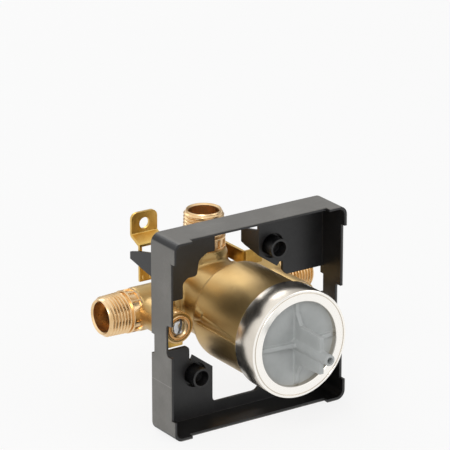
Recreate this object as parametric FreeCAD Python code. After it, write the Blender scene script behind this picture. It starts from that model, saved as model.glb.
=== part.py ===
import FreeCAD, Part
import math
import os

# Concealed shower valve body: a cast brass mixing valve with three tube ports, two screwdriver
# stops, a ring nut over a plastic test cap, a plaster guard and a stamped mounting strap.
# Millimetres. X runs from the left inlet to the right one, Y into the wall, Z up.
# The origin is on the valve's axis, in the plane of the ears' rear face. The pieces are drawn
# from the plane of the guard's rear face and moved to the origin when they are saved.

V = FreeCAD.Vector

# Plaster guard
guard_width = 105.0
guard_height = 106.0
guard_depth = 17.7
guard_wall = 1.5
guard_floor = 1.6
guard_corner = 5.0
corner_lip = 3.0
corner_lip_length = 10.9
level_notch_half = 8.5
level_notch_depth = 4.6
level_notch_round = 2.2
pipe_notch_height = 10.5
pipe_notch_depth = 2.5
window_edge = 7.5
screw_boss_x = 20.0
screw_boss_z = 32.0
lower_boss_x = 27.4
lower_boss_z = 28.0
lower_plate_x = 16.9
screw_boss_radius = 5.2
screw_boss_bore = 4.0
screw_boss_height = 7.7
screw_hole_radius = 1.6
moat_width = 1.4
moat_wall = 1.2
moat_depth = 1.2
guard_leg_x = 11.4
guard_leg_reach = 14.5
guard_rib = 1.4

# Mounting strap
strap_thickness = 1.5
strap_flange_x = 19.9
strap_band_low = 14.0
strap_band_high = 21.5
strap_setback = 9.4
strap_bend = 2.0
column_inset = 7.6
column_width = 15.4
jog_height = 3.0
jog_depth = 7.5
ear_height = 11.0
ear_below_guard = 0.4
ear_corner = 3.5
ear_hole_radius = 3.0
ear_hole_drop = 6.2
short_web_reach = 10.0
clip_window_height = 5.0
clip_window_drop = 1.6
clip_window_width = 8.0
slit_width = 0.7
slit_height = 2.6
slit_spacing = 4.2
slit_base = 19.0
running_gap = 0.3

# Barrel, its chamber and the ring nut
barrel_radius = 26.4
barrel_length = 52.0
barrel_round = 3.0
neck_radius = 21.0
neck_length = 33.7
neck_round = 5.0
nut_reach = 36.6
nut_length = 15.8
nut_radius = 28.2
nut_opening_radius = 22.35
nut_lip = 3.0
nut_bead_inset = 1.3
nut_bead_width = 0.35
nut_bead_depth = 0.4
nut_edge = 0.5
nut_thread_radius = 25.8
chamber_radius = 20.2
chamber_end_wall = 4.0
nose_chamber_radius = 15.0
nose_chamber_depth = 21.7
ridge_height = 0.8
ridge_width = 1.8

# Ports
inlet_setback = 27.4
inlet_half_span = 63.0
outlet_height = 46.0
port_thread_radius = 10.1
port_thread_length = 13.8
port_collar_radius = 11.2
port_collar_length = 6.0
port_rim_chamfer = 0.7
collar_pocket_count = 12
collar_pocket_depth = 0.9
collar_pocket_length = 4.2
collar_land = 1.0
pipe_radius = 11.5
manifold_radius = 12.6
manifold_half_length = 24.0
socket_radius = 8.0
socket_depth = 13.0
socket_chamfer = 0.7
way_radius = 6.0
port_hole_x = 13.5
port_hole_radius = 4.0
rear_way_setback = 5.1
outlet_hole_z = 9.0
outlet_hole_radius = 4.5
pad_z = 16.0
pad_radius = 5.5

# Stops
stop_setback = 5.5
stop_boss_radius = 8.4
stop_boss_length = 33.9
stop_bore_radius = 6.7
stop_bore_depth = 12.4
stop_chamber_radius = 6.0
stop_seat_depth = 31.5
stop_seat_hole_radius = 4.0
stop_edge = 0.5
cross_way_radius = 3.6
cross_way_setback = 4.0
bonnet_radius = 6.6
bonnet_proud = 0.8
bonnet_tail_radius = 5.5
bonnet_tail_length = 4.0
bonnet_seal_thickness = 1.2
bonnet_mouth_radius = 5.3
bonnet_mouth_depth = 1.1
bonnet_step = 0.6
stem_radius = 4.1
stem_clearance = 0.05
stem_recess = 0.2
stem_slot_width = 1.3
stem_slot_depth = 1.6
stem_land_length = 11.4
stem_neck_radius = 2.6
stem_edge = 0.3
stem_groove_start = 7.4
stem_groove_width = 1.9
stem_groove_depth = 1.15
ring_slack = 0.03
stop_travel = 6.0
disc_radius = 5.4
disc_thickness = 3.0
disc_hub_radius = 3.8
disc_hub_length = 2.0
seal_radius = 5.1
seal_thickness = 2.2
seal_screw_head_radius = 2.2
seal_screw_head_height = 1.2
seal_screw_shank_radius = 1.2
seal_screw_shank_length = 3.2

# Test cap
cap_flange_radius = 25.2
cap_flange_thickness = 3.6
cap_spigot_clearance = 0.25
cap_spigot_room = 4.0
cap_nose_length = 19.0
cap_wall = 3.6
cap_web = 2.6
cap_fin_reach = 22.0
cap_fin_top = 9.6
cap_fin_root = 10.6
cap_fin_root_reach = 4.8
cap_rib_end_reach = 1.0
cap_rib_knee = 16.5
cap_cross_rib_reach = 3.6
cap_tube_radius = 2.8
cap_tube_bore = 1.6
cap_tube_bore_depth = 5.0
cap_tube_reach = 29.0
cap_ring_section = 1.3
cap_ring_inset = 6.0
cap_groove_width = 3.0
cap_ring_gap = 0.15

# Strap screws
screw_shank_radius = 2.0
screw_shank_length = 5.0
screw_head_radius = 3.7
screw_head_height = 2.2
screw_recess_width = 0.9
screw_recess_depth = 1.2

# Places that follow from the sizes above
guard_front = -guard_depth
half_width = guard_width / 2
half_height = guard_height / 2
stop_x = inlet_half_span - port_thread_length - port_collar_length - stop_setback
chamber_depth = barrel_length - chamber_end_wall
cap_spigot_length = chamber_depth - cap_spigot_room
nut_front = guard_front - nut_reach
nut_rear = nut_front + nut_length
cap_face = nut_front + nut_lip
barrel_front = cap_face + cap_flange_thickness
barrel_rear = barrel_front + barrel_length
inlet_depth = barrel_rear + inlet_setback
stop_boss_front = inlet_depth - stop_boss_length
strap_front = inlet_depth - strap_setback
column_outer_x = half_width - column_inset
column_inner_x = column_outer_x - column_width
ear_top = half_height - ear_below_guard
ear_hole_z = ear_top - ear_hole_drop
jog_end = ear_top - ear_height
jog_start = jog_end - jog_height
clip_window_high = jog_start - clip_window_drop
clip_window_low = clip_window_high - clip_window_height
chamber_floor = barrel_front + chamber_depth
nose_floor = chamber_floor + nose_chamber_depth
neck_rear = barrel_rear + neck_length
body_rear = inlet_depth + manifold_radius
rear_way_y = inlet_depth + rear_way_setback
seat_y = stop_boss_front + stop_seat_depth
nut_bore_radius = nut_thread_radius + running_gap
ear_rear = strap_front + jog_depth + strap_thickness
cap_groove_depth = 2 * cap_ring_section + cap_ring_gap - cap_spigot_clearance + ring_slack
riser_radius = manifold_radius - 0.2
pipe_start = manifold_half_length / 2


def cylinder(axis, centre, radius, length):
    """A round bar that starts at a centre point and runs along an axis."""
    return Part.makeCylinder(radius, length, V(*centre), V(*axis))


def tube(axis, centre, outer, inner, length):
    bar = cylinder(axis, centre, outer, length)
    return bar.cut(cylinder(axis, centre, inner, length))


def block(low, high):
    size = [b - a for a, b in zip(low, high)]
    return Part.makeBox(size[0], size[1], size[2], V(*low))


def half_turn(shape):
    """The same shape turned 180 degrees about the valve's axis."""
    copy = shape.copy()
    copy.rotate(V(0, 0, 0), V(0, 1, 0), 180)
    return copy


def mirrored(shape):
    return shape.mirror(V(0, 0, 0), V(1, 0, 0))


def rounded_outline(corners, y):
    """A closed wire in an XZ plane. Each corner is x, z and its rounding radius."""
    starts, ends, middles = [], [], []
    count = len(corners)
    for index, (x, z, radius) in enumerate(corners):
        here = V(x, y, z)
        before = V(corners[index - 1][0], y, corners[index - 1][1])
        after = V(corners[(index + 1) % count][0], y, corners[(index + 1) % count][1])
        inward = (before - here).normalize()
        outward = (after - here).normalize()
        half = math.acos(max(-1.0, min(1.0, inward.dot(outward)))) / 2
        reach = radius / math.tan(half)
        bisector = (inward + outward).normalize()
        starts.append(here + inward * reach)
        ends.append(here + outward * reach)
        middles.append(here + bisector * (radius / math.sin(half) - radius))
    edges = []
    for index in range(count):
        if corners[index][2] > 0:
            edges.append(Part.Arc(starts[index], middles[index], ends[index]).toShape())
        following = starts[(index + 1) % count]
        if (following - ends[index]).Length > 1e-6:
            edges.append(Part.LineSegment(ends[index], following).toShape())
    return Part.Wire(edges)


def slab(corners, y, thickness):
    face = Part.Face(rounded_outline(corners, y))
    return face.extrude(V(0, thickness, 0))


def profile_plate(points, x, thickness):
    """A flat plate in a YZ plane, from its corner points."""
    wire = Part.makePolygon([V(x, y, z) for y, z in points + points[:1]])
    return Part.Face(wire).extrude(V(thickness, 0, 0))


def soften(shape, radius, wanted):
    """Rounds the edges for which the test is true."""
    edges = [edge for edge in shape.Edges if wanted(edge)]
    return shape.makeFillet(radius, edges)


def circle_at(edge, y, radius):
    """True for a full circle about the valve's direction at a given depth and radius."""
    curve = edge.Curve
    if not isinstance(curve, Part.Circle):
        return False
    return abs(curve.Center.y - y) < 1e-3 and abs(curve.Radius - radius) < 1e-3


# Plaster guard: black moulded frame with a shaped window, two screw bosses and two clip arms
def window_point(x, z, radius):
    """A corner of the window, drawn for a guard of 105 by 106 and moved with the guard's size."""
    step = strap_band_low + 0.7
    across = x * half_width / 52.5
    side = 1 if z > 0 else -1
    up = side * (step + (abs(z) - 14.7) * half_height / 53.0)
    return (across, up, radius)


def window_outline():
    """The whole outline, from the left wall over the top to the right wall and back below."""
    inside = 51.0
    top = 45.5
    corners = [
        (-inside, 14.7, 0), (-34.7, 14.7, 0.8), (-34.7, 23.0, 3.0), (-31.5, 25.3, 1.2), (-26.3, 25.3, 2.0),
        (-25.0, 33.5, 4.0), (-20.0, 36.4, 1.5), (-15.4, 36.4, 0.6), (-15.4, top, 1.0),
        (guard_leg_x, top, 1.0), (guard_leg_x, 28.2, 0), (22.8, 20.3, 0.4), (24.2, 22.4, 0.4),
        (26.2, 22.4, 0.3), (26.2, 17.4, 0.5), (28.4, 14.7, 1.8), (inside, 14.7, 0),
        (inside, -14.7, 0), (34.7, -14.7, 0.8), (34.7, -23.0, 3.0), (31.5, -25.3, 1.2), (26.3, -25.3, 2.0),
        (25.0, -33.5, 4.0), (20.0, -36.4, 1.5), (12.0, -36.4, 0.6), (12.0, -top, 4.0),
        (-lower_plate_x, -top, 2.8), (-lower_plate_x, -25.7, 0.4), (-28.6, -17.0, 0.4),
        (-29.6, -19.4, 0.3), (-30.9, -19.4, 0.3), (-31.0, -11.4, 2.4), (-inside, -11.4, 0),
    ]
    return [window_point(*corner) for corner in corners]


def make_screw_boss(x, z):
    """Positive and negative shapes of one boss with its round moat."""
    moat_radius = screw_boss_radius + moat_width
    well = cylinder((0, 1, 0), (x, -guard_floor, z), moat_radius + moat_wall, guard_floor + moat_depth + moat_wall)
    post = cylinder((0, 1, 0), (x, -screw_boss_height, z), screw_boss_radius, screw_boss_height)
    moat = tube((0, 1, 0), (x, -guard_floor, z), moat_radius, screw_boss_radius, guard_floor + moat_depth)
    bore = cylinder((0, 1, 0), (x, -screw_boss_height, z), screw_boss_bore, screw_boss_height - guard_floor)
    hole = cylinder((0, 1, 0), (x, -guard_floor, z), screw_hole_radius, guard_floor + moat_depth + moat_wall)
    return well.fuse(post), moat.fuse([bore, hole])


def make_clip_arm():
    """Left arm that grips the outer edge of the strap's column, with its hook."""
    outer_x = -column_outer_x - running_gap - guard_rib
    column_rear = strap_front + strap_thickness
    tip = strap_front + 6.5
    middle = clip_window_low + clip_window_height / 2
    arm = profile_plate(
        [(-guard_floor, middle - 10.1), (-guard_floor, middle + 6.5), (strap_front - 2.0, middle + 1.3),
         (tip, middle - 1.3), (tip, middle - 5.1), (strap_front - 9.4, middle - 8.1)],
        outer_x, guard_rib)
    hook_front = column_rear + running_gap
    hook = Part.makePolygon([
        V(outer_x + guard_rib, hook_front, middle - 4.7),
        V(outer_x + guard_rib + 2.2, hook_front, middle - 4.7),
        V(outer_x + guard_rib, tip - 0.6, middle - 4.7),
        V(outer_x + guard_rib, hook_front, middle - 4.7)])
    return arm.fuse(Part.Face(hook).extrude(V(0, 0, 3.2)))


def make_guard():
    front = guard_front - corner_lip
    depth = guard_depth + corner_lip
    w, h, wall = half_width, half_height, guard_wall
    outer = slab([(-w, -h, guard_corner), (w, -h, guard_corner), (w, h, guard_corner), (-w, h, guard_corner)],
                 front, depth)
    inner_corner = guard_corner - wall
    inner = slab([(-w + wall, -h + wall, inner_corner), (w - wall, -h + wall, inner_corner),
                  (w - wall, h - wall, inner_corner), (-w + wall, h - wall, inner_corner)],
                 front, depth - guard_floor)
    window = slab(window_outline(), -guard_floor, guard_floor)
    guard = outer.cut([inner, window])

    # The walls stand forward at the corners only
    x_run, z_run = w - corner_lip_length, h - corner_lip_length
    guard = guard.cut([
        block((-x_run, front, -h - 1), (x_run, guard_front, h + 1)),
        block((-w - 1, front, -z_run), (w + 1, guard_front, z_run))])

    # Notches in the side walls, at the front and beside the pipes
    level = level_notch_half
    notch = block((-w - 1, guard_front, -level), (-w + wall + 1, guard_front + level_notch_depth, level))
    notch = soften(notch, level_notch_round, lambda edge: edge.BoundBox.XLength > wall
                   and edge.BoundBox.YMin > guard_front + 1)
    pipe_notch = block((-w - 1, -pipe_notch_depth, -pipe_notch_height), (-w + wall, 0, 0))
    guard = guard.cut([notch, half_turn(notch), pipe_notch, half_turn(pipe_notch)])

    boss_x, boss_z, _ = window_point(screw_boss_x, screw_boss_z, 0)
    low_boss_x, low_boss_z, _ = window_point(-lower_boss_x, -lower_boss_z, 0)
    well, hollow = make_screw_boss(boss_x, boss_z)
    lower_well, lower_hollow = make_screw_boss(low_boss_x, low_boss_z)
    leg_x, leg_z, _ = window_point(guard_leg_x, 28.2, 0)
    leg_outline = [(-guard_floor, leg_z), (guard_leg_reach - 3.6, leg_z + 2.0), (guard_leg_reach, leg_z + 3.0),
                   (guard_leg_reach, leg_z + 10.3), (-guard_floor, leg_z + 13.8)]
    low_leg_x = window_point(-lower_plate_x, -28.2, 0)[0] - guard_rib
    leg = profile_plate(leg_outline, leg_x, guard_rib)
    lower_leg = profile_plate([(y, -z) for y, z in leg_outline], low_leg_x, guard_rib)
    arm = make_clip_arm()
    guard = guard.fuse([well, lower_well, leg, lower_leg, arm, half_turn(arm)])
    guard = guard.cut([hollow, lower_hollow])
    return guard.removeSplitter()


# Mounting strap: one stamped brass sheet that passes behind the body
def upright_at(edge, x, y):
    """True for a straight edge along Z at a distance to either side and a depth."""
    box = edge.BoundBox
    straight = box.XLength < 1e-4 and box.YLength < 1e-4
    return straight and abs(abs(box.XMin) - x) < 1e-3 and abs(box.YMin - y) < 1e-3


def level_at(edge, y, z):
    """True for a straight edge along X at a depth and a height above or below the axis."""
    box = edge.BoundBox
    straight = box.YLength < 1e-4 and box.ZLength < 1e-4 and box.XLength > 1.0
    return straight and abs(box.YMin - y) < 1e-3 and abs(abs(box.ZMin) - z) < 1e-3


def make_strap():
    t = strap_thickness
    rear = body_rear
    low, high = strap_band_low, strap_band_high
    ear_front = strap_front + jog_depth
    column = profile_plate(
        [(strap_front, slit_base - 0.6), (strap_front, jog_start), (ear_front, jog_end), (ear_front, ear_top),
         (ear_front + t, ear_top), (ear_front + t, jog_end - t * 0.8), (strap_front + t, jog_start - t),
         (strap_front + t, slit_base - 0.6)],
        -column_outer_x, column_outer_x - column_inner_x)
    centre_x = -(column_outer_x + column_inner_x) / 2
    outline = slab(
        [(-column_outer_x, slit_base - 1, 0), (-column_inner_x, slit_base - 1, 0),
         (-column_inner_x, ear_top, ear_corner), (-column_outer_x, ear_top, ear_corner)],
        strap_front, jog_depth + t)
    column = column.common(outline)
    web = block((-column_outer_x, strap_front, slit_base - 0.6), (-strap_flange_x, strap_front + t, high))
    web = web.fuse(block((-column_inner_x - 1, strap_front, low), (-strap_flange_x, strap_front + t, high)))
    flange = block((-strap_flange_x, strap_front, low), (-strap_flange_x + t, rear + t, high))
    other_flange = mirrored(flange)
    short_web = block((strap_flange_x, strap_front, low),
                      (strap_flange_x + short_web_reach, strap_front + t, high))
    inset_x = strap_flange_x - strap_bend - t / 2
    back = block((-inset_x, rear, -high), (inset_x, rear + t, high))
    band = block((-strap_flange_x, rear, low), (strap_flange_x, rear + t, high))
    half = [column, web, flange, other_flange, short_web, band]
    strap = back.multiFuse(half + [half_turn(piece) for piece in half]).removeSplitter()
    inner = strap_bend - t
    side = strap_flange_x
    strap = soften(strap, strap_bend, lambda edge: upright_at(edge, side - t, strap_front)
                   or upright_at(edge, side, rear + t))
    strap = soften(strap, inner, lambda edge: upright_at(edge, side, strap_front + t)
                   or upright_at(edge, side - t, rear))
    strap = soften(strap, strap_bend, lambda edge: level_at(edge, strap_front, jog_start)
                   or level_at(edge, ear_front + t, jog_end - t * 0.8))
    strap = soften(strap, inner, lambda edge: level_at(edge, strap_front + t, jog_start - t)
                   or level_at(edge, ear_front, jog_end))

    ear_hole = cylinder((0, 1, 0), (centre_x, ear_front, ear_hole_z), ear_hole_radius, t)
    window_x = -column_outer_x + 1.4
    window = block((window_x, strap_front, clip_window_low),
                   (window_x + clip_window_width, strap_front + t, clip_window_high))
    slits = []
    for index in range(2):
        slit_x = -column_outer_x + 1.3 + index * slit_spacing
        slits.append(block((slit_x, strap_front, slit_base),
                           (slit_x + slit_width, strap_front + t, slit_base + slit_height)))
    cuts = [ear_hole, window] + slits
    cuts = cuts + [half_turn(cut) for cut in cuts]
    for sign in (-1, 1):
        cuts.append(cylinder((0, 1, 0), (0, rear, sign * pad_z), screw_shank_radius + 0.2, t))
    return strap.cut(cuts).removeSplitter()


def make_strap_screws():
    """Two cross-recessed pan screws through the strap's back into the body's pads."""
    seat = body_rear + strap_thickness
    screws = []
    for sign in (-1, 1):
        z = sign * pad_z
        shank = cylinder((0, 1, 0), (0, seat - screw_shank_length, z), screw_shank_radius, screw_shank_length)
        head = cylinder((0, 1, 0), (0, seat, z), screw_head_radius, screw_head_height)
        head = soften(head, screw_head_height * 0.45,
                      lambda edge: circle_at(edge, seat + screw_head_height, screw_head_radius))
        arm, half = screw_head_radius * 0.55, screw_recess_width / 2
        top = seat + screw_head_height
        bottom = top - screw_recess_depth
        recess = block((-arm, bottom, z - half), (arm, top, z + half))
        recess = recess.fuse(block((-half, bottom, z - arm), (half, top, z + arm)))
        screws.append(shank.fuse(head).cut(recess).removeSplitter())
    return Part.makeCompound(screws)


# Valve body: sand-cast brass, machined at the chamber, the ports and the stops
def port_end(reach):
    """Outer shape of one port that points along +X: pipe, collar with pockets and thread length."""
    thread_start = reach - port_thread_length
    collar_start = thread_start - port_collar_length
    pipe = cylinder((1, 0, 0), (pipe_start, 0, 0), pipe_radius, collar_start - pipe_start)
    collar = cylinder((1, 0, 0), (collar_start, 0, 0), port_collar_radius, port_collar_length)
    thread = cylinder((1, 0, 0), (thread_start, 0, 0), port_thread_radius, port_thread_length)
    thread = thread.makeChamfer(port_rim_chamfer, [edge for edge in thread.Edges
                                                   if abs(edge.CenterOfMass.x - reach) < 1e-3])
    pocket_start = collar_start + (port_collar_length - collar_pocket_length) / 2
    floor = port_collar_radius - collar_pocket_depth
    band = tube((1, 0, 0), (pocket_start, 0, 0), port_collar_radius, floor, collar_pocket_length)
    lands = []
    for index in range(collar_pocket_count):
        land = block((pocket_start, floor - 1, -collar_land / 2),
                     (pocket_start + collar_pocket_length, port_collar_radius, collar_land / 2))
        land.rotate(V(0, 0, 0), V(1, 0, 0), 360.0 * index / collar_pocket_count)
        lands.append(land)
    return pipe.multiFuse([collar.cut(band.cut(lands)), thread])


def port_bore(reach, depth_end):
    """Socket, mouth chamfer and waterway of one port that points along +X."""
    mouth = Part.makeCone(socket_radius, socket_radius + socket_chamfer, socket_chamfer,
                          V(reach - socket_chamfer, 0, 0), V(1, 0, 0))
    socket = cylinder((1, 0, 0), (reach - socket_depth, 0, 0), socket_radius, socket_depth)
    way = cylinder((1, 0, 0), (depth_end, 0, 0), way_radius, reach - socket_depth - depth_end)
    return socket.multiFuse([mouth, way])


def placed(shape, direction):
    """Turns a port made along +X to its own direction and moves it to the inlets' depth."""
    copy = shape.copy()
    if direction == "left":
        copy.rotate(V(0, 0, 0), V(0, 0, 1), 180)
    if direction == "up":
        copy.rotate(V(0, 0, 0), V(0, 1, 0), -90)
    copy.translate(V(0, inlet_depth, 0))
    return copy


def make_body():
    y_axis = (0, 1, 0)
    barrel = cylinder(y_axis, (0, barrel_front, 0), barrel_radius, barrel_length)
    barrel = soften(barrel, barrel_round, lambda edge: circle_at(edge, barrel_rear, barrel_radius))
    thread_length = nut_rear + running_gap - barrel_front
    barrel = barrel.cut(tube(y_axis, (0, barrel_front, 0), barrel_radius, nut_thread_radius, thread_length))
    neck = cylinder(y_axis, (0, barrel_rear - barrel_round, 0), neck_radius, neck_length + barrel_round)
    neck = soften(neck, neck_round, lambda edge: circle_at(edge, neck_rear, neck_radius))
    manifold = cylinder((1, 0, 0), (-manifold_half_length, inlet_depth, 0), manifold_radius,
                        2 * manifold_half_length)
    manifold = manifold.makeFillet((manifold_radius - pipe_radius) * 0.9, [
        edge for edge in manifold.Edges if isinstance(edge.Curve, Part.Circle)])
    riser = cylinder((0, 0, 1), (0, inlet_depth, 0), riser_radius, manifold_half_length)
    riser = riser.makeFillet((riser_radius - pipe_radius) * 0.9, [
        edge for edge in riser.Edges if edge.CenterOfMass.z > manifold_half_length - 0.1
        and isinstance(edge.Curve, Part.Circle)])
    inlet = port_end(inlet_half_span)
    outlet = port_end(outlet_height)
    adds = [neck, manifold, riser, placed(inlet, "left"), placed(inlet, "right"), placed(outlet, "up")]
    for sign in (-1, 1):
        boss = cylinder(y_axis, (sign * stop_x, stop_boss_front, 0), stop_boss_radius,
                        inlet_depth - stop_boss_front)
        boss = soften(boss, stop_edge, lambda edge: circle_at(edge, stop_boss_front, stop_boss_radius))
        adds.append(boss)
        pad_start = barrel_rear + neck_length / 2
        adds.append(cylinder(y_axis, (0, pad_start, sign * pad_z), pad_radius, body_rear - pad_start))
        ridge_x = sign * (barrel_radius + ridge_height)
        ridge = block((min(0, ridge_x), nut_rear + 1.0, -ridge_width / 2),
                      (max(0, ridge_x), barrel_rear - barrel_round, ridge_width / 2))
        adds.append(ridge)
    body = barrel.multiFuse(adds)

    # Chamber for the cartridge, with hot and cold port holes in its floor and the outlet above them
    cuts = [
        cylinder(y_axis, (0, barrel_front, 0), chamber_radius, chamber_depth),
        cylinder(y_axis, (0, chamber_floor, 0), nose_chamber_radius, nose_chamber_depth),
        cylinder(y_axis, (0, nose_floor, outlet_hole_z), outlet_hole_radius, inlet_depth - nose_floor),
        placed(port_bore(outlet_height, outlet_hole_z - outlet_hole_radius - 0.6), "up")]
    shoulder = stop_x + stop_chamber_radius + 0.3
    bore = port_bore(inlet_half_span, shoulder)
    for sign, direction in ((-1, "left"), (1, "right")):
        x = sign * stop_x
        cuts.append(placed(bore, direction))
        cuts.append(cylinder(y_axis, (x, stop_boss_front, 0), stop_bore_radius, stop_bore_depth))
        cuts.append(cylinder(y_axis, (x, stop_boss_front, 0), stop_chamber_radius, stop_seat_depth))
        cuts.append(cylinder(y_axis, (x, seat_y, 0), stop_seat_hole_radius, rear_way_y - seat_y))
        cross_y = seat_y - cross_way_setback
        cuts.append(cylinder((sign, 0, 0), (x, cross_y, 0), cross_way_radius,
                             stop_chamber_radius + way_radius - 1.0))
        way_start = sign * (port_hole_x - port_hole_radius)
        way_length = stop_x + stop_seat_hole_radius - 1.0 - abs(way_start)
        cuts.append(cylinder((sign, 0, 0), (way_start, rear_way_y, 0), port_hole_radius, way_length))
        cuts.append(cylinder(y_axis, (sign * port_hole_x, nose_floor, 0), port_hole_radius * 0.85,
                             rear_way_y - nose_floor))
        tapped_depth = screw_shank_length - strap_thickness
        cuts.append(cylinder(y_axis, (0, body_rear - tapped_depth, sign * pad_z),
                             screw_shank_radius + ring_slack, tapped_depth))
    return body.cut(cuts).removeSplitter()


# Ring nut: nickel-plated sleeve whose front lip holds the cap's flange
def make_nut():
    y_axis = (0, 1, 0)
    ring = cylinder(y_axis, (0, nut_front, 0), nut_radius, nut_length)
    ring = soften(ring, nut_edge, lambda edge: circle_at(edge, nut_front, nut_radius)
                  or circle_at(edge, nut_rear, nut_radius))
    ring = ring.cut([
        cylinder(y_axis, (0, nut_front, 0), nut_opening_radius, nut_lip),
        cylinder(y_axis, (0, cap_face, 0), nut_bore_radius, nut_length - nut_lip)])
    bead_outer = nut_radius - nut_bead_inset
    groove = tube(y_axis, (0, nut_front, 0), bead_outer, bead_outer - nut_bead_width, nut_bead_depth)
    return ring.cut(groove).removeSplitter()


# Test cap: grey moulding with a flange, a hollow spigot, crossed ribs and a pull fin
def make_cap():
    y_axis = (0, 1, 0)
    spigot_radius = chamber_radius - cap_spigot_clearance
    nose_radius = nose_chamber_radius - cap_spigot_clearance
    flange = cylinder(y_axis, (0, cap_face, 0), cap_flange_radius, cap_flange_thickness)
    spigot = cylinder(y_axis, (0, barrel_front, 0), spigot_radius, cap_spigot_length)
    nose_start = barrel_front + cap_spigot_length
    nose = cylinder(y_axis, (0, nose_start, 0), nose_radius, cap_nose_length)
    nose = soften(nose, 1.0, lambda edge: circle_at(edge, nose_start + cap_nose_length, nose_radius))
    reach_at = lambda distance: cap_face - distance
    fin = Part.makePolygon([
        V(-cap_web / 2, reach_at(-1), -nut_opening_radius + 0.6),
        V(-cap_web / 2, reach_at(cap_rib_end_reach), -nut_opening_radius + 0.6),
        V(-cap_web / 2, reach_at(cap_rib_end_reach + 0.3), -cap_rib_knee),
        V(-cap_web / 2, reach_at(cap_fin_root_reach), -cap_fin_root),
        V(-cap_web / 2, reach_at(cap_fin_reach), -cap_fin_top),
        V(-cap_web / 2, reach_at(cap_fin_reach), cap_fin_top),
        V(-cap_web / 2, reach_at(cap_fin_root_reach), cap_fin_root),
        V(-cap_web / 2, reach_at(cap_rib_end_reach + 0.3), cap_rib_knee),
        V(-cap_web / 2, reach_at(cap_rib_end_reach), nut_opening_radius - 0.6),
        V(-cap_web / 2, reach_at(-1), nut_opening_radius - 0.6),
        V(-cap_web / 2, reach_at(-1), -nut_opening_radius + 0.6)])
    fin = Part.Face(fin).extrude(V(cap_web, 0, 0))
    fin = soften(fin, 0.6, lambda edge: edge.BoundBox.YMax < reach_at(cap_fin_reach) + 0.01)
    rib = Part.makePolygon([
        V(-nut_opening_radius + 0.6, reach_at(-1), -cap_web / 2),
        V(-nut_opening_radius + 0.6, reach_at(cap_rib_end_reach), -cap_web / 2),
        V(0, reach_at(cap_cross_rib_reach), -cap_web / 2),
        V(nut_opening_radius - 0.6, reach_at(cap_rib_end_reach), -cap_web / 2),
        V(nut_opening_radius - 0.6, reach_at(-1), -cap_web / 2),
        V(-nut_opening_radius + 0.6, reach_at(-1), -cap_web / 2)])
    rib = Part.Face(rib).extrude(V(0, 0, cap_web))
    tip = reach_at(cap_tube_reach)
    pipe = cylinder(y_axis, (0, tip, 0), cap_tube_radius, cap_tube_reach + 1)
    pipe = soften(pipe, 0.4, lambda edge: circle_at(edge, tip, cap_tube_radius))
    cap = flange.multiFuse([spigot, nose, fin, rib, pipe])
    hollow_length = cap_spigot_length - cap_flange_thickness
    cap = cap.cut([
        cylinder(y_axis, (0, tip, 0), cap_tube_bore, cap_tube_bore_depth),
        cylinder(y_axis, (0, barrel_front, 0), spigot_radius - cap_wall, hollow_length),
        cylinder(y_axis, (0, barrel_front, 0), nose_radius - cap_wall,
                 cap_spigot_length + cap_nose_length)])
    for groove_y, land_radius in cap_grooves():
        cap = cap.cut(tube(y_axis, (0, groove_y, 0), land_radius + 1, land_radius - cap_groove_depth,
                           cap_groove_width))
    return cap.removeSplitter()


def cap_grooves():
    """Start depth and land radius of the front and rear seal grooves."""
    front = barrel_front + cap_ring_inset
    rear = barrel_front + cap_spigot_length + cap_nose_length - cap_ring_inset - cap_groove_width
    return [(front, chamber_radius - cap_spigot_clearance),
            (rear, nose_chamber_radius - cap_spigot_clearance)]


def make_cap_ring(index):
    groove_y, land_radius = cap_grooves()[index]
    bore_radius = land_radius + cap_spigot_clearance
    centre_radius = bore_radius - cap_ring_gap - cap_ring_section
    middle = V(0, groove_y + cap_groove_width / 2, 0)
    return Part.makeTorus(centre_radius, cap_ring_section, middle, V(0, 1, 0))


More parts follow.
